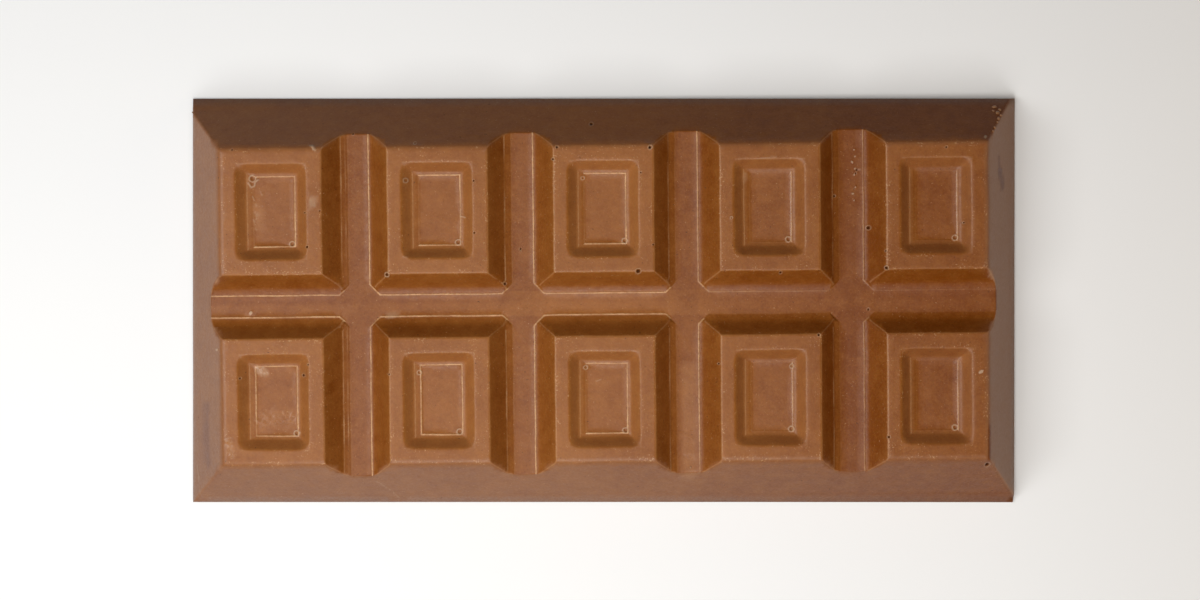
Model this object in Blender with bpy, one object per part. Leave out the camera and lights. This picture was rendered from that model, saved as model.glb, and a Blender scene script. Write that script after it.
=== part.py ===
"""A moulded milk chocolate bar of ten pieces, lying on its flat back.

The bar is one solid: a low block with sloping walls, parted by one long groove and four cross grooves
into two rows of five pieces, each with a rectangular dish in its top. The origin is at the middle of
the flat back, +X runs along the bar and +Z points up out of the moulded face.
"""

import math

import bmesh
import bpy

MM = 0.001

# The bar as a whole.
LENGTH = 156.2 * MM
WIDTH = 76.9 * MM
HEIGHT = 14.1 * MM
SIDE_SLOPE = math.radians(55)  # the long walls, measured up from the back
END_SLOPE = math.radians(58)  # the two end walls
FOOT_SLOPE = math.radians(80)  # the narrow steep foot below all four
EDGE_ROUNDING = 0.5 * MM  # how far the upper edges are eased back on their two faces
FOOT_ROUNDING = 0.25 * MM  # the same for the foot's corners and the back

# The grid of pieces.
COLUMNS = 5
ROWS = 2
PITCH_X = 30.4 * MM
PITCH_Y = 34.9 * MM
PIECE_X = 18.6 * MM  # flat top of a piece, between its grooves
PIECE_Y = 23.3 * MM

# The grooves that the bar is broken along.
GROOVE_DEPTH = 3.8 * MM
GROOVE_FLOOR = 4.0 * MM
GROOVE_FILLET = 1.8 * MM
GROOVE_SHOULDER = 0.35 * MM
CROSSING_CHAMFER = 1.9 * MM  # how far the foot of a piece is cut back at a crossing
CROSSING_SLOPE = math.radians(56)

# The dish in the top of each piece.
DISH_X = 12.9 * MM
DISH_Y = 17.7 * MM
DISH_DEPTH = 2.1 * MM
DISH_RUN = 2.45 * MM  # how far its walls lean in on the way down
DISH_FILLET = 1.3 * MM
DISH_SHOULDER = 0.55 * MM
DISH_FLOOR_CORNER = 0.35 * MM  # corner radius in plan, at the floor and at the rim
DISH_RIM_CORNER = 0.9 * MM

# Worked out from the sizes above.
TOP_X = (COLUMNS - 1) * PITCH_X + PIECE_X
TOP_Y = (ROWS - 1) * PITCH_Y + PIECE_Y

ARC_STEPS = 4  # flats in each fillet or rounding of a cut
CORNER_STEPS = 3  # flats in each corner of a dish, in plan
CLEAR = 2.0 * MM  # how far a cutter stands out of the bar

CHOCOLATE = (0.30, 0.13, 0.05, 1.0)


def chocolate():
    """Milk chocolate with the soft gloss that a polished mould leaves."""
    material = bpy.data.materials.new("milk_chocolate")
    material.use_nodes = True
    shader = material.node_tree.nodes["Principled BSDF"]
    shader.inputs["Base Color"].default_value = CHOCOLATE
    shader.inputs["Roughness"].default_value = 0.42
    shader.inputs["Metallic"].default_value = 0.0
    return material


def new_object(name, mesh_source):
    """Turns a bmesh into an object of that name, with its faces pointing outwards."""
    bmesh.ops.recalc_face_normals(mesh_source, faces=mesh_source.faces)
    mesh = bpy.data.meshes.new(name)
    mesh_source.to_mesh(mesh)
    mesh_source.free()
    made = bpy.data.objects.new(name, mesh)
    bpy.context.scene.collection.objects.link(made)
    return made


def new_cutter(name, mesh_source):
    """An object that only shapes the bar and isn't part of it."""
    cutter = new_object(name, mesh_source)
    cutter.hide_render = True
    cutter.display_type = "WIRE"
    return cutter


def shape_with(body, cutter, operation="DIFFERENCE"):
    modifier = body.modifiers.new(cutter.name, "BOOLEAN")
    modifier.operation = operation
    modifier.object = cutter


def close_loft(mesh, rings):
    """Skins a stack of rings of equal count and caps both ends."""
    for lower, upper in zip(rings, rings[1:]):
        count = len(lower)
        for i in range(count):
            j = (i + 1) % count
            mesh.faces.new((lower[i], lower[j], upper[j], upper[i]))
    mesh.faces.new(reversed(rings[0]))
    mesh.faces.new(rings[-1])


def rounded_block(base, taper, bottom, top, chosen, rounding, segments):
    """A block whose walls lean in by the taper, with its chosen edges rounded.

    The base and the taper are (x, y), and the base stands below z = 0 and the top above it.
    """
    block = bmesh.new()
    bmesh.ops.create_cube(block, size=1.0)
    upper = [vert for vert in block.verts if vert.co.z > 0]
    lower = [vert for vert in block.verts if vert.co.z < 0]
    bmesh.ops.scale(block, vec=(base[0], base[1], -2 * bottom), verts=lower)
    bmesh.ops.scale(block, vec=(base[0] - 2 * taper[0], base[1] - 2 * taper[1], 2 * top), verts=upper)
    edges = [edge for edge in block.edges if chosen(sorted(vert.co.z for vert in edge.verts))]
    bmesh.ops.bevel(
        block,
        geom=edges,
        offset=rounding,
        offset_type="OFFSET",
        segments=segments,
        profile=0.5,
        affect="EDGES",
        material=-1,
    )
    return block


def bar_blank():
    """The mould cavity without its pattern: four walls that lean in, under a flat top."""
    fall = HEIGHT + CLEAR
    spread = (fall / math.tan(END_SLOPE), fall / math.tan(SIDE_SLOPE))
    base = (TOP_X + 2 * spread[0], TOP_Y + 2 * spread[1])
    blank = rounded_block(base, spread, -CLEAR, HEIGHT, lambda ends: ends[1] > 0, EDGE_ROUNDING, 3)
    return new_object("chocolate_bar", blank)


def mould_mouth():
    """The steep mouth of the cavity, which gives the bar a narrow steep foot and its flat back."""
    reach = HEIGHT + CLEAR
    lean = 2 * reach / math.tan(FOOT_SLOPE)
    mouth = rounded_block(
        (LENGTH, WIDTH), (lean, lean), -reach, reach, lambda ends: ends[0] < 0, FOOT_ROUNDING, 2
    )
    bmesh.ops.translate(mouth, vec=(0, 0, reach), verts=mouth.verts)
    return new_cutter("mould_mouth", mouth)


def wall_profile(run, depth, fillet, shoulder):
    """Points (out, up) of one wall of a cut, from the floor's edge to the top.

    A fillet rises from the floor, a straight slope follows, and a rounded shoulder ends level with the
    top. The slope is the line that touches both arcs, whose centres lie on either side of it.
    """
    rise = depth - fillet - shoulder
    between_centres = math.hypot(run, rise)
    slope = math.atan2(rise, run) + math.asin((fillet + shoulder) / between_centres)
    points = []
    for step in range(ARC_STEPS + 1):
        turn = slope * step / ARC_STEPS
        points.append((fillet * math.sin(turn), fillet * (1 - math.cos(turn))))
    for step in range(ARC_STEPS + 1):
        turn = slope * (1 - step / ARC_STEPS)
        points.append((run - shoulder * math.sin(turn), depth - shoulder * (1 - math.cos(turn))))
    return points


def groove_cutter(name, width, length, along_y, offset):
    """A bar with the groove's cross-section, laid across the top of the body."""
    half_floor = GROOVE_FLOOR / 2
    side = wall_profile(width / 2 - half_floor, GROOVE_DEPTH, GROOVE_FILLET, GROOVE_SHOULDER)
    half = [(half_floor + out, HEIGHT - GROOVE_DEPTH + up) for out, up in side]
    half.append((width / 2, HEIGHT + CLEAR))
    outline = half + [(-across, up) for across, up in reversed(half)]
    cutter = bmesh.new()
    if along_y:
        ring = [cutter.verts.new((offset + across, -length / 2, up)) for across, up in outline]
        travel = (0, length, 0)
    else:
        ring = [cutter.verts.new((-length / 2, offset + across, up)) for across, up in outline]
        travel = (length, 0, 0)
    end = cutter.faces.new(ring)
    far_end = bmesh.ops.extrude_face_region(cutter, geom=[end])["geom"]
    moved = [item for item in far_end if isinstance(item, bmesh.types.BMVert)]
    bmesh.ops.translate(cutter, vec=travel, verts=moved)
    return new_cutter(name, cutter)


def crossing_cutter():
    """Where grooves cross, a square set cornerwise trims the feet of the four pieces that meet there."""
    cutter = bmesh.new()
    foot = GROOVE_FLOOR + CROSSING_CHAMFER
    rise = GROOVE_DEPTH + CLEAR
    spread = rise / math.tan(CROSSING_SLOPE) * math.sqrt(2)
    for column in range(COLUMNS - 1):
        middle = (column - (COLUMNS - 2) / 2) * PITCH_X
        rings = []
        for reach, up in ((foot, HEIGHT - GROOVE_DEPTH), (foot + spread, HEIGHT + CLEAR)):
            corners = ((reach, 0), (0, reach), (-reach, 0), (0, -reach))
            rings.append([cutter.verts.new((middle + x, y, up)) for x, y in corners])
        close_loft(cutter, rings)
    return new_cutter("crossing_cutter", cutter)


def rounded_rectangle(size_x, size_y, radius):
    """Points (x, y) round a rectangle with rounded corners, centred on the origin."""
    points = []
    for corner in range(4):
        sign_x = 1 if corner in (0, 3) else -1
        sign_y = 1 if corner in (0, 1) else -1
        for step in range(CORNER_STEPS + 1):
            turn = math.pi / 2 * (corner + step / CORNER_STEPS)
            x = sign_x * (size_x / 2 - radius) + radius * math.cos(turn)
            y = sign_y * (size_y / 2 - radius) + radius * math.sin(turn)
            points.append((x, y))
    return points


def dish_cutter():
    """The dish of every piece, as one mesh of ten separate plugs."""
    cutter = bmesh.new()
    side = wall_profile(DISH_RUN, DISH_DEPTH, DISH_FILLET, DISH_SHOULDER)
    side.append((DISH_RUN, DISH_DEPTH + CLEAR))
    for column in range(COLUMNS):
        for row in range(ROWS):
            middle_x = (column - (COLUMNS - 1) / 2) * PITCH_X
            middle_y = (row - (ROWS - 1) / 2) * PITCH_Y
            rings = []
            for out, up in side:
                inset = 2 * (DISH_RUN - out)
                radius = DISH_FLOOR_CORNER + (DISH_RIM_CORNER - DISH_FLOOR_CORNER) * out / DISH_RUN
                outline = rounded_rectangle(DISH_X - inset, DISH_Y - inset, radius)
                z = HEIGHT - DISH_DEPTH + up
                rings.append([cutter.verts.new((middle_x + x, middle_y + y, z)) for x, y in outline])
            close_loft(cutter, rings)
    return new_cutter("dish_cutter", cutter)


def main():
    for old in list(bpy.data.objects):
        bpy.data.objects.remove(old)
    bar = bar_blank()
    bar.data.materials.append(chocolate())
    shape_with(bar, mould_mouth(), "INTERSECT")
    shape_with(bar, groove_cutter("long_groove_cutter", PITCH_Y - PIECE_Y, 2 * LENGTH, False, 0.0))
    for column in range(COLUMNS - 1):
        middle = (column - (COLUMNS - 2) / 2) * PITCH_X
        name = f"cross_groove_cutter_{column + 1}"
        shape_with(bar, groove_cutter(name, PITCH_X - PIECE_X, 2 * WIDTH, True, middle))
    shape_with(bar, crossing_cutter())
    shape_with(bar, dish_cutter())


main()
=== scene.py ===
"""A moulded milk chocolate bar of ten pieces, finished for the studio.

The bar lies on its flat back with its moulded face up: two rows of five pieces, parted by the grooves
that it is broken along, each with a rectangular dish in its top. Lengths in this file are millimetres
until a mesh is finished, and then metres.
"""

import math

import bmesh
import bpy
import numpy as np
from mathutils import Matrix, Vector, noise
from mathutils.bvhtree import BVHTree


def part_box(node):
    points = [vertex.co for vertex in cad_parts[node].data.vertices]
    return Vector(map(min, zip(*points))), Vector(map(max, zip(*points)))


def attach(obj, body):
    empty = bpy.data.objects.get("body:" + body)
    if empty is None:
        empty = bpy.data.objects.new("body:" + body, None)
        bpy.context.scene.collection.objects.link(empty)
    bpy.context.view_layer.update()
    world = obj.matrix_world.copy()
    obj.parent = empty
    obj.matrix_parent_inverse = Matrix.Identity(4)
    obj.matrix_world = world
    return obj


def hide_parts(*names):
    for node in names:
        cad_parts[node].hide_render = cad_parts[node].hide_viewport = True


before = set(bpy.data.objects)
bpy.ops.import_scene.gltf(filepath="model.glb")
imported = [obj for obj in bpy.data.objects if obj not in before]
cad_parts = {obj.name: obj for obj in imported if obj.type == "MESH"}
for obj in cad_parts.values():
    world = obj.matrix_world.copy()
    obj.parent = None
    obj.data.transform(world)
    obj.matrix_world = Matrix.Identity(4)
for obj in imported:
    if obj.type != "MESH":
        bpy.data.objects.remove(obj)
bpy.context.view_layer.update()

# ------------------------------------------------------------------------------------------ the bar
# Milk chocolate poured into a tray mould, shaken level, chilled and knocked out on its flat back. The
# mould gives it crisp slopes, a fine raised thread where each core met its base, and the rings, pits
# and flakes that trapped air and a worn mould leave.

MM = 0.001
low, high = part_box("chocolate_bar")
HALF_LENGTH, HALF_WIDTH, HEIGHT = high.x / MM, high.y / MM, high.z / MM

COUNT = (5, 2)  # pieces along and across
PITCH = (30.4, 34.9)
PIECE = (18.3, 23.1)  # flat top of a piece, between the worn shoulders of its grooves
DISH = (12.9, 17.7)  # mouth of the dish in it
PATTERN_TURN = 0.0097  # the pattern stands slightly turned in the bar's outline
PATTERN_SHIFT = Vector((0.33, 0.09, 0))  # and slightly off its middle

# Depths that every slope passes on its way down to a groove's floor. The slopes share them, so that
# two slopes meet along one line of points. Below are the distances out from the piece's edge where
# the side that looks right, the side that looks left and the long groove's two sides reach them.
GROOVE_DEPTHS = (0, 0.015, 0.07, 0.19, 0.40, 1.45, 2.55, 3.00, 3.26, 3.36, 3.50, 3.62, 3.70, 3.75, 3.765, 3.78, 3.79, 3.80)
GROOVE_SIDES = {
    "right": (-0.36, -0.18, -0.02, 0.13, 0.32, 1.28, 2.27, 2.68, 2.92, 3.05, 3.42, 3.80, 4.03, 4.18, 4.24, 4.30, 4.36, 4.42),
    "left": (-0.36, -0.18, -0.02, 0.13, 0.32, 1.26, 2.25, 2.67, 2.93, 3.05, 3.22, 3.40, 3.56, 3.70, 3.78, 3.86, 3.94, 4.02),
    "long": (-0.36, -0.18, -0.02, 0.13, 0.31, 1.06, 1.86, 2.25, 2.58, 2.75, 3.02, 3.28, 3.50, 3.64, 3.72, 3.80, 3.88, 3.96),
}
# Where each groove's floor begins and ends, out from its middle. The mould maker's cuts wander a little.
CROSS_FLOORS = ((-1.55, 2.20), (-1.80, 2.16), (-2.00, 2.12), (-2.20, 2.25))
LONG_FLOOR = (-2.10, 1.90)
THREAD = 0.10  # height of the raised thread
THREAD_WIDTH = 0.12
CROSSING_CUT = 1.9  # how far the foot of a piece is cut back where grooves cross
CROSSING_SLOPE = math.tan(math.radians(50))

DISH_DEPTHS = (0, 0.03, 0.12, 0.31, 0.92, 1.42, 1.64, 1.74, 1.83, 1.96, 2.01, 2.03, 2.06, 2.10)
DISH_SIDES = {  # the same for the dish, in from its mouth
    "right": (-0.52, -0.30, -0.10, 0.14, 0.76, 1.26, 1.54, 1.76, 2.05, 2.60, 2.76, 2.84, 2.95, 3.35),
    "other": (-0.30, -0.08, 0.12, 0.34, 0.88, 1.33, 1.58, 1.70, 1.85, 2.16, 2.34, 2.43, 2.52, 2.62),
}

WALL_SLOPES = {(0, -1): 1.47, (0, 1): 1.75, (1, -1): 1.43, (1, 1): 1.43}  # fall for each millimetre out: left, right, near, far
WALL_SHOULDER = (-0.85, -0.60, -0.30, -0.02)  # a wall's first depths come with a rounder shoulder
END_WALL_START = {-1: 0.35, 1: 0.15}  # the end walls fall away a little further out than the pieces' edge
WALL_DEPTHS = (4.7, 5.8, 7.0, 8.2, 9.4, 10.5, 11.5)
EDGE = tuple((count - 1) / 2 * pitch + piece / 2 for count, pitch, piece in zip(COUNT, PITCH, PIECE))
turned = Matrix.Rotation(PATTERN_TURN, 3, "Z")


def middles(axis):
    return [(place - (COUNT[axis] - 1) / 2) * PITCH[axis] for place in range(COUNT[axis])]


def groove_outs(axis, groove, side):
    """How far out from the piece's edge one side of a groove reaches each of its depths."""
    if axis == 1:
        floor, outs = LONG_FLOOR, GROOVE_SIDES["long"]
    else:
        floor, outs = CROSS_FLOORS[groove], GROOVE_SIDES["right" if side > 0 else "left"]
    run = (PITCH[axis] - PIECE[axis]) / 2 + (floor[0] if side > 0 else -floor[1])
    return [out * run / outs[-3] if out > 0.5 else out for out in outs]


def wall_outs(axis, side):
    start = END_WALL_START[side] if axis == 0 else 0
    return [start + out for out in WALL_SHOULDER] + [start + depth / WALL_SLOPES[axis, side] for depth in GROOVE_DEPTHS[4:]]


def sculpting_lines(axis, end):
    """The lines across one axis that the moulded face is sculpted on, from edge to edge."""
    lines = {-end, end}
    for place, middle in enumerate(middles(axis)):
        for side in (-1, 1):
            face = "right" if axis == 0 and side < 0 else "other"
            reach = [DISH[axis] / 2 - inward for inward in DISH_SIDES[face]]
            steps = round(reach[-1] / 1.0)
            reach += [reach[-1] * step / steps for step in range(steps)]
            reach += [DISH[axis] / 2 + 0.75, DISH[axis] / 2 + 1.6]
            groove = place if side > 0 else place - 1
            if 0 <= groove < COUNT[axis] - 1:
                reach += [PIECE[axis] / 2 + out for out in groove_outs(axis, groove, side)]
                floor = LONG_FLOOR if axis else CROSS_FLOORS[groove]
                reach += [PITCH[axis] / 2 + side * sum(floor) / 2 - 0.7 * fraction for fraction in (0, 1)]
            else:
                outs = wall_outs(axis, side)
                reach += [PIECE[axis] / 2 + out for out in outs]
                reach += [PIECE[axis] / 2 + outs[-1] + (depth - GROOVE_DEPTHS[-1]) / WALL_SLOPES[axis, side] for depth in WALL_DEPTHS]
            lines.update(middle + side * value for value in reach)
    kept = []
    for line in sorted(lines):
        if (abs(line) == end or abs(line) < end - 0.4) and (not kept or line - kept[-1] > 0.02):
            kept.append(line)
    return kept


def on_bar(column, row, x, y):
    """The place in the bar of a point given from the middle of a piece: column 0 to 4, row 0 or 1."""
    place = Vector((middles(0)[column] + x, -middles(1)[row] + y, 0))
    return turned @ place + PATTERN_SHIFT


# What trapped air and a worn mould left, each placed from the middle of a piece. A ring stands up and a
# pit goes in: (column, row, x, y, size).
rings = [(column, row, 3.45 + 0.15 * ((column + 2 * row) % 3), -5.95, 0.60) for column in range(5) for row in range(2)]
rings += [(0, 0, -3.7, 6.1, 0.70), (1, 0, -5.8, 5.5, 0.50), (2, 0, -3.8, 5.6, 0.40), (1, 1, -3.8, 5.1, 0.50),
          (2, 1, -3.6, 5.7, 0.45), (1, 0, -4.0, 12.3, 0.35), (2, 0, 8.6, 11.2, 0.45), (1, 0, -9.4, -11.7, 0.55), (3, 1, 3.9, 5.6, 0.45), (3, 0, -7.1, -1.9, 0.30), (4, 0, -9.2, -11.3, 0.45)]
pits = [(2, 0, 6.2, -11.5, 0.42), (1, 0, -9.4, -11.7, 0.30), (4, 0, -9.2, -11.3, 0.34), (3, 1, 8.7, 11.4, 0.26), (4, 1, -9.0, -7.4, 0.27),
        (0, 0, 6.5, -6.5, 0.25), (0, 1, 5.3, 4.8, 0.28), (0, 1, 6.3, 6.8, 0.18), (4, 1, 9.3, -12.9, 0.42), (1, 0, 6.7, 5.3, 0.20),
        (1, 0, 6.7, -4.2, 0.22), (0, 0, -7.0, 11.4, 0.20), (2, 0, -8.4, 11.3, 0.24), (2, 0, -9.2, 9.1, 0.22), (2, 0, 8.5, 11.1, 0.32),
        (1, 0, 15.0, -7.3, 0.20), (3, 0, 13.9, 9.0, 0.22), (4, 0, -14.1, 6.7, 0.22), (3, 0, 12.1, 1.9, 0.24), (4, 0, -12.1, -4.0, 0.34),
        (4, 1, -12.1, 15.8, 0.22), (0, 0, 14.7, 14.2, 0.20), (2, 0, -2.2, 15.7, 0.32), (0, 1, -6.2, 4.4, 0.20), (1, 1, 7.1, 2.6, 0.18),
        (0, 0, 6.1, -0.2, 0.18), (0, 0, 8.9, 0.1, 0.16), (4, 0, 1.8, 10.6, 0.20), (4, 0, 11.2, 1.6, 0.20), (1, 1, -9.2, 4.9, 0.20),
        (1, 0, 12.0, -13.7, 0.22), (4, 0, -16.4, 9.1, 0.18), (4, 0, -14.3, 6.1, 0.17), (4, 0, -14.6, 3.2, 0.13), (3, 0, 1.8, -12.0, 0.24),
        (4, 0, -9.3, -8.2, 0.17), (2, 0, 6.8, 6.5, 0.18), (2, 0, 9.0, -6.7, 0.20), (4, 0, 0.6, -8.0, 0.20), (4, 0, 5.1, -3.2, 0.18),
        (3, 1, -4.6, 12.3, 0.18), (3, 1, -9.6, 6.3, 0.19), (4, 0, 10.8, -5.6, 0.15)]
# Thin ridges drawn out where the mould let go: (column, row, stops, height, width).
ridges = [(0, 0, ((-4.4, 5.3), (-3.9, 4.5), (-3.3, 4.8), (-3.2, 5.5), (-2.7, 5.9)), 0.07, 0.14), (1, 0, ((4.0, -1.1), (4.9, -1.4)), 0.06, 0.12),
          (0, 0, ((-3.7, 2.9), (-3.1, 1.3), (-2.7, 0.2)), 0.03, 0.10), (0, 0, ((-3.3, 0.6), (-3.0, -1.6)), 0.03, 0.10),
          (0, 0, ((-2.4, 3.9), (-1.8, 2.7)), 0.025, 0.10), (0, 0, ((-3.6, -1.4), (-3.2, -3.2)), 0.03, 0.12), (0, 0, ((-1.9, 1.2), (-1.4, 0.1)), 0.02, 0.10),
          (0, 0, ((7.2, 12.0), (7.9, 11.8), (8.2, 11.2)), 0.06, 0.16), (1, 1, ((-12.4, -15.5), (-10.6, -17.2), (-9.0, -19.4)), 0.03, 0.10),
          (0, 1, ((-16.7, -12.3), (-16.1, -15.6), (-15.8, -18.5)), 0.03, 0.10), (2, 1, ((-1.6, 3.2), (-0.8, 3.5)), 0.03, 0.10),
          (1, 0, ((-6.4, -8.4), (-5.5, -8.6)), 0.03, 0.10), (3, 0, ((-1.5, 8.9), (1.2, 9.1)), 0.03, 0.12)]
# Flakes that stayed on, standing proud with a torn edge: (column, row, x, y, length, breadth, turn).
flakes = [(4, 1, 8.0, 4.4, 0.55, 0.30, 0.5), (0, 1, -10.6, 9.6, 0.4, 0.25, 0.3), (0, 1, -4.7, 16.2, 0.45, 0.3, 1.2), (4, 0, 9.1, 12.4, 0.4, 0.25, 0.8),
          (0, 0, 7.7, 11.7, 0.5, 0.25, 1.9)]
flakes += [(4, 0, -14.6 + 0.3 * math.sin(2.3 * step), 10.4 - 1.15 * step, 0.17 + 0.07 * (step % 3), 0.15, 1.1 * step) for step in range(9)]
# Places where the skin is duller, darker or greyer: (column, row, stops, reach, tone, shine, bloom).
smears = [(0, 0, ((7.6, 1.6),), 0.9, 0.1, -0.5, 0.75), (0, 1, ((-3.3, 5.8), (-2.0, 5.4)), 0.9, 0.3, 1.0, 0.35), (0, 1, ((-2.4, -3.4), (2.6, -3.2)), 1.9, 0.1, 0.8, 0.04),
          (0, 1, ((-8.4, -7.0), (-7.8, -9.8)), 1.0, 0.2, 1.0, 0.15), (0, 1, ((10.7, 3.2), (10.8, 2.0)), 0.55, -0.45, 0.3, 0.0), (1, 1, ((-9.6, 15.4), (-8.5, 15.5)), 0.6, 0.1, -0.4, 0.35),
          (0, 1, ((-13.6, -1.0), (-13.9, -6.0), (-13.6, -11.8)), 1.0, -0.5, 0.5, 0.0), (4, 0, ((12.5, 8.8), (12.8, 6.5)), 0.5, -0.9, 0.3, 0.0), (4, 0, ((12.9, 6.0), (13.5, 3.5)), 0.8, -1.2, 0.3, 0.0),
          (2, 1, ((15.4, 5.0), (15.2, -14.5)), 1.8, 0.30, 0.6, 0.05), (4, 1, ((-16.5, 10.0), (-15.0, 7.5)), 0.9, -0.35, 0.1, 0.0), (4, 1, ((9.3, -12.2), (9.5, -8.8), (9.4, -5.5)), 0.35, -0.9, 0.5, 0.0),
          (0, 0, ((-2.9, 1.0), (-2.8, -3.0)), 1.1, 0.2, 0.3, 0.06), (3, 0, ((-4.4, 5.7),), 0.75, 0.1, -0.2, 0.30)]

bar = bmesh.new()
ends = (EDGE[0] + 8.3, EDGE[1] + 9.9)
lines_x, lines_y = sculpting_lines(0, ends[0]), sculpting_lines(1, ends[1])
bmesh.ops.create_grid(bar, x_segments=len(lines_x) - 1, y_segments=len(lines_y) - 1, size=1.0)

# The pattern is laid in, turned, and the walls' lines are drawn out to the straight outline.
TOP_CORNER, BOTTOM_CORNER, SIDE_HALF = 77.66, 78.03, 38.28


def outline_x(y):
    """Half the bar's length above its foot: the far side is a shade shorter than the near one."""
    return BOTTOM_CORNER + (TOP_CORNER - BOTTOM_CORNER) * (y + SIDE_HALF) / (2 * SIDE_HALF)


for vert in bar.verts:
    line = Vector((lines_x[round((vert.co.x + 1) / 2 * (len(lines_x) - 1))], lines_y[round((vert.co.y + 1) / 2 * (len(lines_y) - 1))], 0))
    place = turned @ line + PATTERN_SHIFT
    start = (wall_outs(0, 1 if line.x > 0 else -1)[-1] + 0.1, wall_outs(1, -1)[-1] + 0.1)
    reach = [min(max((abs(line[axis]) - EDGE[axis] - start[axis]) / (ends[axis] - EDGE[axis] - start[axis]), 0), 1) for axis in (0, 1)]
    foot_x = turned @ Vector((math.copysign(ends[0], line.x), line.y, 0)) + PATTERN_SHIFT
    foot_y = turned @ Vector((line.x, math.copysign(ends[1], line.y), 0)) + PATTERN_SHIFT
    place.x += reach[0] * (math.copysign(outline_x(place.y), line.x) - foot_x.x)
    place.y += reach[1] * (math.copysign(SIDE_HALF, line.y) - foot_y.y)
    vert.co = place


def faces_near(x, y, reach):
    return [face for face in bar.faces if abs(face.verts[0].co.x - x) < reach + 1.5 and abs(face.verts[0].co.y - y) < reach + 1.5
            and any((vert.co.x - x) ** 2 + (vert.co.y - y) ** 2 < reach**2 for vert in face.verts)]


def score(point, reach, across):
    """Draws a line of points through the faces around a point, square to the given direction."""
    faces = faces_near(point.x, point.y, reach)
    geometry = {item for face in faces for item in (*face.verts, *face.edges)}
    bmesh.ops.bisect_plane(bar, geom=list(geometry) + faces, dist=0.004, plane_co=(point.x, point.y, 0), plane_no=(across.x, across.y, 0))


# The foot of each piece is cut back at a crossing, and the four corners of the bar have their mitres.
crossings = [(column + 0.5 - (COUNT[0] - 1) / 2) * PITCH[0] for column in range(COUNT[0] - 1)]
for groove, middle in enumerate(crossings):
    for side_x, floor_x in zip((-1, 1), CROSS_FLOORS[groove]):
        for side_y, floor_y in zip((-1, 1), LONG_FLOOR):
            square = turned @ Vector((side_x, side_y, 0)).normalized()
            corner = turned @ Vector((middle + floor_x + side_x * CROSSING_CUT / 2, floor_y + side_y * CROSSING_CUT / 2, 0)) + PATTERN_SHIFT
            for back in (-0.12, 0.0, 0.12):
                score(corner + square * back, 1.5, square)
for side_x in (-1, 1):
    for side_y in (-1, 1):
        along = turned @ Vector((side_x / WALL_SLOPES[0, side_x], side_y / WALL_SLOPES[1, side_y], 0)).normalized()
        square = Vector((-along.y, along.x, 0))
        edge_x = EDGE[0] + END_WALL_START[side_x]
        start = turned @ Vector((side_x * edge_x, side_y * EDGE[1], 0)) + PATTERN_SHIFT
        for off in (-0.3, 0.0, 0.3):
            score(start + along * 9.0 + square * off, 6.2, square)



def finer(point, reach, coarsest):
    """Gives a small mark enough points to be modelled with."""
    for _ in range(3):
        edges = {edge for face in faces_near(point.x, point.y, reach) for edge in face.edges if edge.calc_length() > coarsest}
        if edges:
            bmesh.ops.subdivide_edges(bar, edges=list(edges), cuts=1, use_grid_fill=True)


for column, row, x, y, size in rings + pits:
    finer(on_bar(column, row, x, y), size * 1.3 + 0.08, 0.17)
for column, row, x, y, length, breadth, turn in flakes:
    finer(on_bar(column, row, x, y), length + 0.1, 0.17)
for column, row, stops, reach, _, shine, _ in smears:
    if shine >= 0.7:
        for stop in stops:
            finer(on_bar(column, row, *stop), reach, 0.3)
for column, row, stops, *_ in ridges:
    for start, stop in zip(stops, stops[1:]):
        steps = math.ceil(math.dist(start, stop) / 0.5)
        for step in range(steps + 1):
            between_stops = [a + (b - a) * step / steps for a, b in zip(start, stop)]
            finer(on_bar(column, row, *between_stops), 0.3, 0.2)
bmesh.ops.triangulate(bar, faces=[face for face in bar.faces if len(face.verts) > 4])

# From here on the height of every point of the face is worked out from its place.
points = np.array([vert.co for vert in bar.verts])
pattern = (points - np.array(PATTERN_SHIFT)) @ np.array(turned)
x, y = pattern[:, 0], pattern[:, 1]


def roughly(size, seed, octaves=1):
    """Smooth random values between about -1 and 1 that change over the given size."""
    made = np.zeros(len(points))
    for octave in range(octaves):
        scale = 2**octave / size
        made += np.array([noise.noise(Vector((a * scale, b * scale, seed + 7.3 * octave))) for a, b in points[:, :2]]) / 1.8**octave
    return made


def slope_depth(axis, values):
    """For each point: its piece, how far out of it the point lies, the depth cut there, how far short of
    the floor it is, whether that is a wall, and which way it looks."""
    nearest = np.clip(np.round(values / PITCH[axis] + (COUNT[axis] - 1) / 2), 0, COUNT[axis] - 1).astype(int)
    local = values - np.array(middles(axis))[nearest]
    side = np.where(local > 0, 1, -1)
    out = np.abs(local) - PIECE[axis] / 2
    cut, short, wall = np.zeros(len(out)), np.full(len(out), 9.0), np.zeros(len(out), bool)
    for place in range(COUNT[axis]):
        for facing in (-1, 1):
            here = (nearest == place) & (side == facing)
            groove = place if facing > 0 else place - 1
            if 0 <= groove < COUNT[axis] - 1:
                outs = groove_outs(axis, groove, facing)
                cut[here] = np.interp(out[here], outs, GROOVE_DEPTHS)
                short[here] = outs[-3] - out[here]
            else:
                outs = wall_outs(axis, facing)
                straight = GROOVE_DEPTHS[-1] + (out[here] - outs[-1]) * WALL_SLOPES[axis, facing]
                cut[here] = np.where(out[here] > outs[4], straight, np.interp(out[here], outs, GROOVE_DEPTHS))
                wall[here] = True
    return nearest, local, out, cut, short, wall, side


def eased(first, second, width):
    """How much deeper two slopes cut where they meet, so that their corner is rounded."""
    return np.maximum(0, width - np.abs(first - second)) ** 2 / (4 * width)


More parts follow.
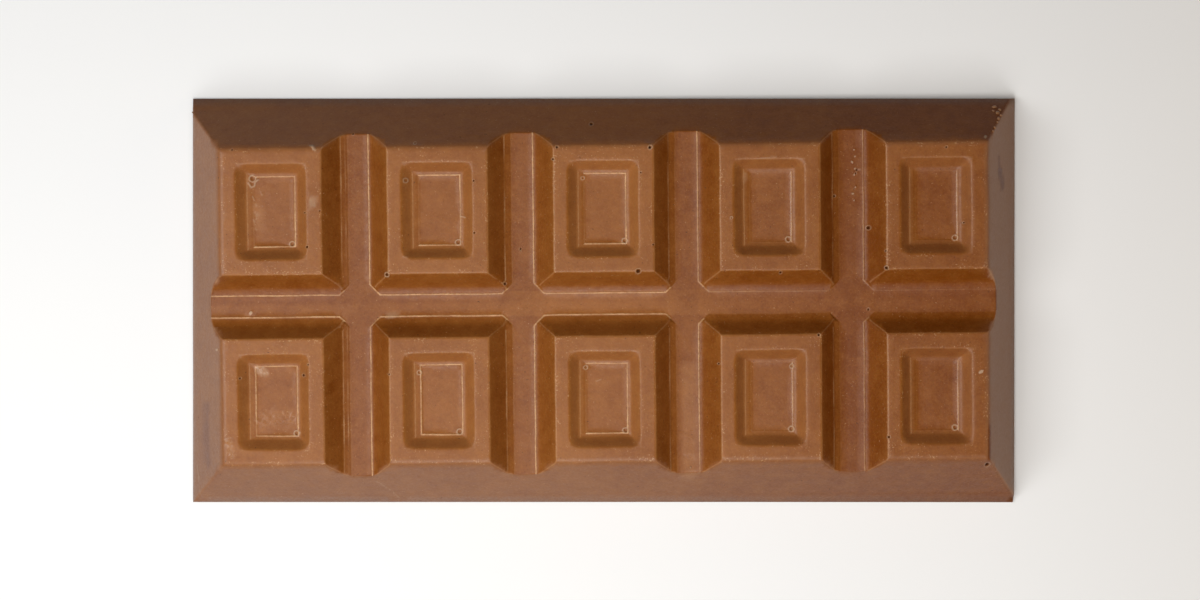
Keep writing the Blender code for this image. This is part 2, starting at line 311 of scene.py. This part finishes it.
column, local_x, out_x, cut_x, short_x, wall_x, side_x = slope_depth(0, x)
row, local_y, out_y, cut_y, short_y, wall_y, side_y = slope_depth(1, y)
row = 1 - row
depth = np.maximum(cut_x, cut_y)
walls = wall_x & wall_y
grooved = ~wall_x & ~wall_y
carved = ~((wall_x & (cut_x > cut_y)) | (wall_y & (cut_y > cut_x)))  # everything but the outer walls
ease = eased(cut_x, cut_y, np.where(walls, 0.7, 0.25))
ease *= np.clip((depth - 0.1) / 0.7, 0, 1) * np.where(grooved, np.clip((3.7 - depth) / 0.5, 0, 1), 1)
depth = depth + ease
to_cut = np.where(grooved & (out_x > 0) & (out_y > 0), (short_x + short_y - CROSSING_CUT) / math.sqrt(2), 9)
facet = 3.80 - np.maximum(to_cut, 0) * CROSSING_SLOPE
depth = np.where(to_cut < 3, np.maximum(depth, facet), depth)

# The thread at the foot of every piece, strongest where the slope looks left or towards the long groove.
short = np.minimum(np.minimum(short_x, short_y), to_cut)
wander = roughly(5.0, 3.0, 2)
strength = np.where((short_x < short_y) & (side_x > 0), 0.10, 1.0)
strength *= np.clip(0.95 + 0.7 * wander, 0.55, 1.25)
strength *= np.where((short_y < short_x) & (column > 2), np.where(row == 1, 0.06, 0.4), 1.0)
thread = THREAD * strength * np.exp(-((short / THREAD_WIDTH) ** 2)) * carved
right_side = (short_x < short_y) & (side_x > 0) & carved
left_side = (short_x < short_y) & (side_x < 0) & carved
for where, line_at, tall in ((right_side, 1.30, 0.05), (right_side, 0.50, 0.025), (left_side, 0.42, 0.03)):
    thread += np.where(where & (short_y > 1.2), tall * np.exp(-(((short - line_at) / 0.09) ** 2)), 0)

# The dish.
in_x, in_y = DISH[0] / 2 - np.abs(local_x), DISH[1] / 2 - np.abs(local_y)
dish_x = np.where(local_x < 0, np.interp(in_x, DISH_SIDES["right"], DISH_DEPTHS), np.interp(in_x, DISH_SIDES["other"], DISH_DEPTHS))
dish_y = np.interp(in_y, DISH_SIDES["other"], DISH_DEPTHS)
shallow = np.minimum(dish_x, dish_y)
dish = np.maximum(shallow - eased(dish_x, dish_y, 2.00 * (1 - (shallow / 2.10) ** 2) + 0.01), 0)
depth = np.maximum(depth, dish)
core_x = in_x - np.where(local_x < 0, 2.84, 2.43)
core = np.minimum(core_x, in_y - 2.43)
left_thread = np.where((row == 1) & (column < 2), 0.8, 0.12)
core_strength = np.where((core_x < in_y - 2.43) & (local_x < 0), left_thread, 1.0) * np.clip(0.8 + 0.7 * wander, 0.1, 1.1)
core_strength *= np.where((core_x > in_y - 2.43) & (column > 2), 0.12, 1.0)
broad = (column > 2) & (local_x > 0) & (core_x < in_y - 2.43)  # where the core was worn round
thread += 0.085 * core_strength * np.exp(-((core / np.where(broad, 0.20, 0.10)) ** 2)) * (in_x > 0) * (in_y > 0)
left_band = (local_x < 0) & (in_y > in_x)
thread += np.where(left_band & (in_x > 0), 0.03 * np.exp(-(((in_x - 1.78) / 0.09) ** 2)), 0)

height = HEIGHT - 0.05 - depth + thread
height += 0.018 * roughly(3.2, 11.0) + 0.012 * roughly(0.9, 17.0)


def far_from(column, row, *stops):
    """How far each point lies, in plan, from a line of stops on one piece."""
    places = [np.array(on_bar(column, row, *stop)[:2]) for stop in stops]
    nearest = np.full(len(points), 99.0)
    for start, stop in zip(places, places[1:] or places):
        span = stop - start
        along = np.clip((points[:, :2] - start) @ span / max(span @ span, 1e-9), 0, 1)
        nearest = np.minimum(nearest, np.linalg.norm(points[:, :2] - start - along[:, None] * span, axis=1))
    return nearest


def hump(far, middle, width):
    return np.exp(-(((far - middle) / width) ** 2))


pit_shade, bloom_and_highlight, tone_of_marks, shine = (np.zeros(len(points)) for _ in range(4))
ragged = roughly(0.5, 51.0, 2)
crinkle = roughly(0.8, 57.0, 2)
# A ring's pale rim is partly a painted highlight, and its hollow gets painted shade.
for column_at, row_at, at_x, at_y, size in rings:
    far = far_from(column_at, row_at, (at_x, at_y)) * (1 + 0.12 * ragged)
    height += 0.09 * hump(far, 0.8 * size, 0.2 * size) - 0.08 * hump(far, 0, 0.45 * size)
    bloom_and_highlight = np.maximum(bloom_and_highlight, 0.7 * hump(far, 0.8 * size, 0.17 * size))
    pit_shade = np.maximum(pit_shade, 0.12 * hump(far, 0.3 * size, 0.3 * size))
# A pit's hollow is painted dark, a painted shade; its pale lip is partly a painted highlight.
for column_at, row_at, at_x, at_y, size in pits:
    far = far_from(column_at, row_at, (at_x, at_y)) * (1 + 0.15 * ragged)
    hole = np.exp(-((far / (0.8 * size)) ** 4))
    height += 0.06 * hump(far, 1.15 * size, 0.25 * size) - 1.1 * size * hole
    pit_shade = np.maximum(pit_shade, hole)
    bloom_and_highlight = np.maximum(bloom_and_highlight, 0.45 * hump(far, 1.2 * size, 0.2 * size))
# A ridge's pale line is partly a painted highlight.
for column_at, row_at, stops, tall, width in ridges:
    line = hump(far_from(column_at, row_at, *stops) + 0.05 * ragged, 0, width)
    height += 1.5 * tall * line
    bloom_and_highlight = np.maximum(bloom_and_highlight, min(10 * tall, 0.7) * line)
for column_at, row_at, at_x, at_y, length, breadth, turn in flakes:
    middle = np.array(on_bar(column_at, row_at, at_x, at_y)[:2])
    away = points[:, :2] - middle
    along, aside = away @ (math.cos(turn), math.sin(turn)), away @ (-math.sin(turn), math.cos(turn))
    patch = np.clip(4 - 4 * (np.hypot(along / length, aside / breadth) + 0.35 * ragged), 0, 1)
    height += patch * (0.10 + 0.06 * along / length)
    bloom_and_highlight = np.maximum(bloom_and_highlight, 0.75 * patch)
for column_at, row_at, stops, reach, tone, shining, greying in smears:
    torn = 0.5 if shining >= 0.7 else 0.08  # a glossy patch has a torn edge, and a dull one a soft edge
    far = far_from(column_at, row_at, *stops) / reach + torn * ragged + 0.35 * wander
    patch = np.clip(2.2 - 2.2 * far, 0, 1)
    tone_of_marks += tone * patch
    shine += shining * patch
    bloom_and_highlight = np.maximum(bloom_and_highlight, greying * patch)
    height += 0.13 * patch * crinkle * max(shining, 0)
shine += 1.2 * broad * hump(core, 0, 0.30)

# Two slopes meet along a drawn line of points.
slope = np.maximum(cut_x, cut_y)
meeting = (np.abs(cut_x - cut_y) < 2e-3) & (slope > 0.001) & ~walls & (slope < 3.79)
meeting |= (np.abs(dish_x - dish_y) < 2e-3) & (shallow > 0.02) & (shallow < 2.09)
bmesh.ops.connect_verts(bar, verts=[vert for vert, on in zip(bar.verts, meeting) if on])

# Where a thin pale line runs, and how strongly: along edges, threads and mitres. The lines are partly wear and partly a
# painted highlight on edges and threads; along the mitres they are painted highlight only.
line_far, line_amount = np.full(len(points), 9.0), np.zeros(len(points))


def draw_pale_line(far, amount, where):
    nearer = where & (far < line_far)
    line_far[nearer] = far[nearer]
    line_amount[nearer] = np.broadcast_to(amount, far.shape)[nearer]


edge = np.maximum(out_x, out_y)
side_on = out_x > out_y
draw_pale_line(np.abs(edge), np.where(side_on & (side_x < 0), 0.30, 0.14) * carved, edge < 1.5)
line_fade = 1 - 0.75 * np.clip((x - 5) / 50, 0, 1)  # the pale lines on the threads, partly painted highlight, fade towards the bar's right end
draw_pale_line(np.abs(short), strength * 0.9 * np.where(short_x < short_y, np.maximum(line_fade, 0.45), line_fade), carved)
draw_pale_line(np.abs(short - 1.30), np.clip(0.3 + 0.4 * wander, 0.05, 0.5), right_side & (short_y > 1.2))
draw_pale_line(np.abs(short - 0.50), np.clip(0.15 + 0.4 * wander, 0, 0.4), right_side & (short_y > 1.2) & (x < -40))
draw_pale_line(np.abs(cut_x - cut_y) / 1.6, 0.20, ~walls & (np.minimum(cut_x, cut_y) > 0.15) & (slope < 3.7) & (short > 0.3))
draw_pale_line(np.abs(in_x - 0.05), np.where(local_x > 0, 0.14, 0.04), (in_x < 1) & (in_y > in_x))
draw_pale_line(np.abs(in_y - 0.05), np.where(local_y > 0, 0.18, 0.05), (in_y < 1) & (in_x >= in_y))
draw_pale_line(np.abs(core), core_strength * np.where(broad, 0.65, np.maximum(line_fade, 0.4)), (core > -0.8) & (in_x > 0) & (in_y > 0))
draw_pale_line(np.abs(in_x - 1.78), 0.3, left_band & (in_x > 0))

# How pale the milk chocolate is, from 0 to 1. Some of it is the chocolate's own tone, which changes at random; the rest
# is painted light and shade:
# paler on the tops, at the edges, in the dishes' slopes and around the bar's middle, and darker in the grooves, on the
# dishes' far slopes and towards the bar's far right.
in_dish = np.minimum(in_x, in_y)
tone = 0.52 + 0.17 * roughly(11.0, 61.0) + 0.10 * roughly(2.5, 67.0, 2)
# Painted shade: darker towards the bar's right end and a shade towards its far side. Painted light: paler around the
# middle.
tone -= 0.26 * np.clip(x / 70, -0.2, 1) + 0.02 * np.clip(y / 30, -1, 1)
tone += 0.11 * hump(x, 4, 26.0)
# Painted light: paler on the tops, at the pieces' edges and the dishes' rims, and much paler in the dishes' slopes.
tone += 0.10 * ((edge < 0) & (in_dish < 0)) + 0.10 * hump(edge, -0.1, 0.7) * carved + 0.06 * hump(in_dish, -0.1, 0.6)
dish_slope = np.clip(in_dish / 0.3, 0, 1) * np.clip((2.5 - in_dish) / 0.4, 0, 1)
tone += 0.22 * dish_slope
# Painted shade in the grooves, deepest on the long groove's far side towards the left, and on the dishes' far slopes;
# painted light along the middle of the long groove.
in_groove = carved & (edge > 0)
tone -= in_groove * np.where(short_y < short_x, 0.10, 0.24) * np.clip(edge / 0.5, 0, 1)
tone -= in_groove * (short_y < short_x) * (y > 0.5) * (0.12 + 0.12 * np.clip(-x / 40, 0, 1))
tone -= 0.16 * dish_slope * (local_y > 0) * (in_y < in_x)
tone += 0.30 * (np.abs(y) < 2.4) * hump(x, 0, 26.0)
# The outer walls: a painted reflection of the pale floor, strongest on the right end wall, then the left end wall, the
# near wall and the left part of the far wall; the right end wall painted paler and the side walls painted darker; and a
# weaker specular on the right end wall and the far wall.
end_wall, side_wall = wall_x & (cut_x >= cut_y) & (cut_x > 0), wall_y & (cut_y > cut_x) & (cut_y > 0)
down_wall = np.clip((edge + 0.2) / 1.4, 0, 1) * (end_wall | side_wall)
end_share = np.where(walls, np.clip((cut_x - cut_y) / 0.5 + 0.5, 0, 1), end_wall)
near_reflection = np.where(y < 0, np.clip(0.05 - x * 0.0006, 0.0, 0.08), 0.0)
haze_and_painted_reflection = down_wall * (end_share * 0.11 + (1 - end_share) * near_reflection)
# A painted reflection on the walls' shoulders and the dishes' slopes too.
haze_and_painted_reflection += 0.07 * hump(edge, -0.1, 0.5) * ~carved + 0.03 * dish_slope
haze_and_painted_reflection += 0.05 * down_wall * (1 - end_share) * (y > 0) * np.clip(-x / 60, 0, 1)
tone += down_wall * (end_share * np.where(x > 0, 1.0, 0.0) - (1 - end_share) * 0.11)
dulled = down_wall * (end_share * np.where(x > 0, 0.75, 0.0) + (1 - end_share) * np.where(y > 0, 1.0, 0.0))
haze_and_painted_reflection += down_wall * end_share * np.where(x > 0, 0.13, 0.0)
haze_and_painted_reflection *= np.clip(1 + np.minimum(tone_of_marks, 0), 0.2, 1)
rubbed = hump(edge, -0.25, 0.7) * (edge < 1) + 0.8 * hump(in_dish, -0.2, 0.5) + 0.25 * ((edge < 0) & (in_dish < 0))
tone += tone_of_marks
surface_values = {"line_distance": line_far, "line_wear_and_highlight": line_amount, "pit_shade": pit_shade, "bloom_and_highlight": bloom_and_highlight, "tone": tone, "haze_and_painted_reflection": haze_and_painted_reflection, "shine": shine,
               "dulled": np.maximum(dulled, 1.5 * pit_shade), "rubbed": rubbed, "back": np.zeros(len(points))}
for name, values in surface_values.items():
    layer = bar.verts.layers.float.new(name)
    for vert, value in zip(bar.verts, values):
        vert[layer] = float(value)

# Hand-cut edges wander a little in plan, except at the outline.
inside = np.clip(np.minimum(ends[0] - 2 - np.abs(x), ends[1] - 2 - np.abs(y)) / 4, 0, 1)
wander_x = (0.07 * roughly(7.0, 23.0) + 0.035 * roughly(1.3, 29.0)) * inside
wander_y = (0.07 * roughly(7.0, 37.0) + 0.035 * roughly(1.3, 41.0)) * inside
for vert, up, aside, along in zip(bar.verts, height, wander_x, wander_y):
    vert.co = (vert.co.x + float(aside), vert.co.y + float(along), min(max(float(up), 0.35), HEIGHT - 0.003))

# The foot: steep and narrow, leaning out a little down to the flat back, with a small rounding there.
FOOT_TOP = 1.6  # about how high the walls meet it
FOOT_LEAN = (0.26, 0.09)
FOOT_ROUND = 0.10
LEFT_TAPER = 0.17  # the foot of the left end comes in towards the far corner


def to_foot(vert, up, inward=0.0):
    """Moves a point of the outline to the foot's face at the given height."""
    half = outline_x(vert.co.y) + (FOOT_TOP - up) * FOOT_LEAN[0]
    widest = HALF_LENGTH - 0.005 - (LEFT_TAPER * (vert.co.y / SIDE_HALF + 1) / 2 if vert.co.x < 0 else 0)
    if abs(vert.co.x) > outline_x(vert.co.y) - 0.5:
        vert.co.x = math.copysign(min(half, widest) - inward, vert.co.x)
    if abs(vert.co.y) > SIDE_HALF - 0.5:
        vert.co.y = math.copysign(min(SIDE_HALF + (FOOT_TOP - up) * FOOT_LEAN[1], HALF_WIDTH - 0.005) - inward, vert.co.y)
    vert.co.z = up


rim = [item for item in bar.edges if item.is_boundary]
for vert in {vert for item in rim for vert in item.verts}:
    to_foot(vert, vert.co.z)
for share, level, inward in ((0.5, 0, 0), (0, FOOT_ROUND, 0), (0, 0.3 * FOOT_ROUND, 0.3 * FOOT_ROUND), (0, 0, FOOT_ROUND)):
    made = bmesh.ops.extrude_edge_only(bar, edges=rim)["geom"]
    rim = [item for item in made if isinstance(item, bmesh.types.BMEdge) and item.is_boundary]
    for vert in {vert for item in rim for vert in item.verts}:
        to_foot(vert, vert.co.z * share + level, inward)

# The back set open to the air: level, but for the low swells that shaking and scraping left.
back = bmesh.ops.holes_fill(bar, edges=rim, sides=0)["faces"]
BACK_STEP = 2.0
for axis, half in ((0, HALF_LENGTH), (1, HALF_WIDTH)):
    for step in range(-int(half / BACK_STEP), int(half / BACK_STEP) + 1):
        place = Vector((0, 0, 0))
        place[axis] = step * BACK_STEP + 0.3 * math.sin(step * 1.7)
        square = Vector((1, 0, 0)) if axis == 0 else Vector((0, 1, 0))
        geometry = {item for face in back for item in (*face.verts, *face.edges)}
        cut = bmesh.ops.bisect_plane(bar, geom=list(geometry) + back, dist=0.001, plane_co=place, plane_no=square)["geom"]
        back = [item for item in cut if isinstance(item, bmesh.types.BMFace)]
tone_layer, back_layer = bar.verts.layers.float["tone"], bar.verts.layers.float["back"]
haze_and_reflection_layer, shine_layer, dull_layer = (bar.verts.layers.float[name] for name in ("haze_and_painted_reflection", "shine", "dulled"))
for vert in {vert for face in back for vert in face.verts}:
    inner = min(HALF_LENGTH - abs(vert.co.x), HALF_WIDTH - abs(vert.co.y)) - 0.4
    swell = 0.06 + 0.10 * noise.noise(vert.co / 9.0) + 0.05 * noise.noise(vert.co / 3.1 + Vector((5, 0, 0)))
    vert.co.z = max(swell, 0) * min(max(inner / 2.5, 0), 1)
    vert[tone_layer] = 0.42 + 0.5 * noise.noise(vert.co / 14.0 + Vector((0, 9, 0)))
    vert[back_layer], vert[haze_and_reflection_layer], vert[shine_layer], vert[dull_layer] = min(max(inner + 0.3, 0), 1), 0.05, -0.4, 0.0
bmesh.ops.recalc_face_normals(bar, faces=bar.faces)
bmesh.ops.scale(bar, vec=(MM, MM, MM), verts=bar.verts)
for face in bar.faces:
    face.smooth = True
mesh = bpy.data.meshes.new("moulded_bar")
bar.to_mesh(mesh)
bar.free()
moulded_bar = bpy.data.objects.new("moulded_bar", mesh)
bpy.context.scene.collection.objects.link(moulded_bar)
mesh.set_sharp_from_angle(angle=math.radians(75))

chocolate = bpy.data.materials.new("milk_chocolate_moulded")
chocolate.use_nodes = True
nodes, links = chocolate.node_tree.nodes, chocolate.node_tree.links
surface = nodes["Principled BSDF"]


def node(kind, inputs=(), **settings):
    made = nodes.new(kind)
    for name, value in settings.items():
        setattr(made, name, value)
    for name, value in dict(inputs).items():
        if isinstance(value, bpy.types.NodeSocket):
            links.new(value, made.inputs[name])
        else:
            made.inputs[name].default_value = value
    return made


def reckon(operation, first, second=0.0, third=0.0, clamp=False):
    return node("ShaderNodeMath", {0: first, 1: second, 2: third}, operation=operation, use_clamp=clamp).outputs[0]


def between(value, low, high, to_low=0.0, to_high=1.0):
    made = node("ShaderNodeMapRange", {"Value": value, "From Min": low, "From Max": high, "To Min": to_low, "To Max": to_high}, interpolation_type="SMOOTHSTEP")
    return made.outputs["Result"]


def speckle(size, detail=2.0, roughness=0.55, distortion=0.0):
    made = node("ShaderNodeTexNoise", {"Vector": place, "Scale": 1 / (size * MM), "Detail": detail, "Roughness": roughness, "Distortion": distortion})
    return made.outputs["Fac"]


def mix(factor, first, second):
    made = node("ShaderNodeMix", data_type="RGBA")
    for socket, value in zip((made.inputs[0], made.inputs[6], made.inputs[7]), (factor, first, second)):
        if isinstance(value, bpy.types.NodeSocket):
            links.new(value, socket)
        else:
            socket.default_value = value
    return made.outputs[2]


def attribute(name):
    return node("ShaderNodeAttribute", attribute_name=name).outputs["Fac"]


place = node("ShaderNodeTexCoord").outputs["Object"]

DARK_BROWN = (0.190, 0.046, 0.0015, 1)
PALE_BROWN = (0.340, 0.1185, 0.0205, 1)
# Pale for the flecks and for the lines, which are partly painted highlight.
PALE_LINE = (0.62, 0.35, 0.17, 1)
# Near black for painted shade in pits and pinholes.
PIT_SHADE = (0.05, 0.012, 0.003, 1)
# Pale bloom, also used as painted highlight on the rims of rings, pits and ridges.
BLOOM_AND_HIGHLIGHT = (0.52, 0.35, 0.22, 1)
# Grey mixed in by the haze attribute: painted reflection on the walls, shoulders and dish slopes, and a slight grey on
# the back.
HAZE_AND_REFLECTION = (0.60, 0.50, 0.42, 1)

grain = reckon("MULTIPLY", reckon("SUBTRACT", speckle(0.45, 4.0, 0.65), 0.5), 0.9)
clouds = reckon("MULTIPLY", reckon("SUBTRACT", speckle(2.2, 3.0), 0.5), 0.7)
colour = mix(reckon("ADD", attribute("tone"), reckon("ADD", grain, clouds), clamp=True), DARK_BROWN, PALE_BROWN)
in_clusters = between(speckle(2.6, 2.0), 0.38, 0.62, -0.03, 0.10)
flecks = reckon("ADD", speckle(0.36, 2.5, 0.6), reckon("MULTIPLY", attribute("rubbed"), in_clusters))
colour = mix(between(flecks, 0.66, 0.76, 0, 0.50), colour, PALE_LINE)
# Dark specks: painted shade of pinholes too small to model.
colour = mix(between(speckle(0.50, 1.0), 0.74, 0.80, 0, 0.7), colour, PIT_SHADE)
# Pale lines along edges, threads and mitres: partly wear, partly painted highlight.
ragged_edge = reckon("MULTIPLY", reckon("SUBTRACT", speckle(0.25, 2.0), 0.5), 0.16)
near = between(reckon("ADD", attribute("line_distance"), ragged_edge), 0.05, 0.19, 1, 0)
line = reckon("MULTIPLY", reckon("MULTIPLY", near, attribute("line_wear_and_highlight")), between(speckle(0.8, 3.0), 0.3, 0.6, 0.5, 1.0))
colour = mix(line, colour, PALE_LINE)
# Painted reflection of the pale floor on the walls, shoulders and dish slopes.
colour = mix(attribute("haze_and_painted_reflection"), colour, HAZE_AND_REFLECTION)
# Pale bloom on flakes, smears and crumbs; on the rims of rings, pits and ridges it is partly a painted highlight.
colour = mix(attribute("bloom_and_highlight"), colour, BLOOM_AND_HIGHLIGHT)
# Painted shade in the pits and in the hollows of the rings.
colour = mix(attribute("pit_shade"), colour, PIT_SHADE)
links.new(colour, surface.inputs["Base Color"])
roughness = between(speckle(0.5, 3.0), 0.3, 0.7, 0.36, 0.48)
roughness = reckon("SUBTRACT", roughness, reckon("MULTIPLY", attribute("shine"), 0.16), clamp=True)
links.new(roughness, surface.inputs["Roughness"])
links.new(reckon("SUBTRACT", 0.5, reckon("MULTIPLY", attribute("dulled"), 0.3)), surface.inputs["Specular IOR Level"])
fine = node("ShaderNodeBump", {"Strength": 0.35, "Distance": 0.05 * MM, "Height": speckle(0.22, 4.0, 0.6)})
dents = reckon("ADD", speckle(1.6, 2.0, 0.5), reckon("MULTIPLY", reckon("MULTIPLY", speckle(0.7, 3.0, 0.6, 1.2), attribute("back")), 2.5))
bump = node("ShaderNodeBump", {"Strength": 0.6, "Distance": 0.10 * MM, "Height": dents, "Normal": fine.outputs[0]})
links.new(bump.outputs[0], surface.inputs["Normal"])
surface.inputs["Subsurface Weight"].default_value = 0.10
surface.inputs["Subsurface Radius"].default_value = (1.0, 0.35, 0.12)
surface.inputs["Subsurface Scale"].default_value = 1.0 * MM
surface.inputs["IOR"].default_value = 1.39
mesh.materials.append(chocolate)
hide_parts("chocolate_bar")
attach(moulded_bar, "root")

# ---------------------------------------------------------------------------------- the stuck crumbs
# A few crumbs of the same chocolate that stuck to the walls near the bar's far right corner, and one
# or two in the grooves. Each is an uneven lump, pressed a third of its height into the bar.

under = BVHTree.FromObject(moulded_bar, bpy.context.evaluated_depsgraph_get())
crumbs = bmesh.new()
tone_layer, bloom_layer = crumbs.verts.layers.float.new("tone"), crumbs.verts.layers.float.new("bloom_and_highlight")
for number, (at_column, at_row, at_x, at_y, size) in enumerate((
        (4, 0, 12.5, 18.3, 0.36), (4, 0, 13.4, 17.7, 0.28), (4, 0, 12.8, 17.1, 0.40), (4, 0, 13.3, 16.6, 0.24), (4, 0, 12.1, 17.5, 0.22),
        (4, 0, 12.6, 16.0, 0.30), (4, 0, 12.2, 15.3, 0.20), (4, 0, 11.4, 14.2, 0.26), (4, 0, 10.9, 13.5, 0.22), (2, 1, 15.6, -13.2, 0.18))):
    place = on_bar(at_column, at_row, at_x, at_y)
    hit, normal, *_ = under.ray_cast(Vector((place.x, place.y, 30.0)) * MM, Vector((0, 0, -1)))
    lump = bmesh.ops.create_icosphere(crumbs, subdivisions=3, radius=size)["verts"]
    for vert in lump:
        lumpy = 1 + 0.55 * noise.noise(vert.co * (1.1 / size) + Vector((number * 3.1, 0, 0))) + 0.2 * noise.noise(vert.co * (3.0 / size) + Vector((0, number, 0)))
        vert.co = vert.co * lumpy
        vert[tone_layer], vert[bloom_layer] = 0.8, 0.35
    bmesh.ops.scale(crumbs, vec=(1.2, 0.85, 0.6), verts=lump)
    bmesh.ops.rotate(crumbs, matrix=Matrix.Rotation(number * 2.2, 3, "Z"), verts=lump)
    bmesh.ops.rotate(crumbs, matrix=normal.to_track_quat("Z", "Y").to_matrix(), verts=lump)
    bmesh.ops.scale(crumbs, vec=(MM, MM, MM), verts=lump)
    bmesh.ops.translate(crumbs, vec=hit + normal * 0.2 * size * MM, verts=lump)
for face in crumbs.faces:
    face.smooth = True
mesh = bpy.data.meshes.new("stuck_crumbs")
crumbs.to_mesh(mesh)
crumbs.free()
mesh.materials.append(chocolate)
stuck_crumbs = bpy.data.objects.new("stuck_crumbs", mesh)
bpy.context.scene.collection.objects.link(stuck_crumbs)
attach(stuck_crumbs, "root")

# --------------------------------------------------------------------------------------- the studio
# A pale matt board under the bar, one broad soft lamp over its near left side, and the camera that
# looks almost straight down from a hand's length above it.

floor_mesh = bmesh.new()
bmesh.ops.create_grid(floor_mesh, x_segments=1, y_segments=1, size=1.5)
bmesh.ops.translate(floor_mesh, vec=(0, 0, -0.05 * MM), verts=floor_mesh.verts)
mesh = bpy.data.meshes.new("floor")
floor_mesh.to_mesh(mesh)
floor_mesh.free()
floor = bpy.data.objects.new("floor", mesh)
bpy.context.scene.collection.objects.link(floor)
board = bpy.data.materials.new("pale_board")
board.use_nodes = True
board.node_tree.nodes["Principled BSDF"].inputs["Base Color"].default_value = (0.95, 0.95, 0.94, 1)
board.node_tree.nodes["Principled BSDF"].inputs["Roughness"].default_value = 0.8
floor.data.materials.append(board)
floor.visible_diffuse = False


def lamp(name, toward, distance, size, power, colour=(1, 1, 1)):
    data = bpy.data.lights.new(name, "AREA")
    data.shape = "RECTANGLE"
    data.size, data.size_y = size
    data.energy = power
    data.color = colour
    made = bpy.data.objects.new(name, data)
    direction = Vector(toward).normalized()
    made.location = direction * distance
    made.rotation_euler = direction.to_track_quat("Z", "Y").to_euler()
    bpy.context.scene.collection.objects.link(made)


lamp("left", (-0.25, -0.02, 0.33), 0.42, (0.2, 0.2), 0.80)
lamp("near", (-0.03, -0.23, 0.33), 0.40, (0.2, 0.2), 0.84)
lamp("top", (0, 0, 1), 0.45, (0.25, 0.25), 0.33)
lamp("right", (0.28, 0.0, 0.17), 0.36, (0.2, 0.2), 0.11, (1, 0.62, 0.25))

world = bpy.data.worlds.new("studio")
bpy.context.scene.world = world
world.use_nodes = True
world.node_tree.nodes["Background"].inputs["Color"].default_value = (1, 1, 1, 1)
world.node_tree.nodes["Background"].inputs["Strength"].default_value = 0.02

camera_data = bpy.data.cameras.new("camera")
camera_data.lens = 55.47
camera_data.sensor_width = 36.0
camera_data.clip_start = 0.01
camera = bpy.data.objects.new("camera", camera_data)
camera.location = (1.27 * MM, 17.32 * MM, 351.8 * MM)
camera_data.shift_y = -0.0367
camera.rotation_euler = (-0.025, 0.0053, 0.0)
bpy.context.scene.collection.objects.link(camera)
bpy.context.scene.camera = camera
bpy.context.scene.view_settings.view_transform = "Standard"
bpy.context.scene.view_settings.look = "None"
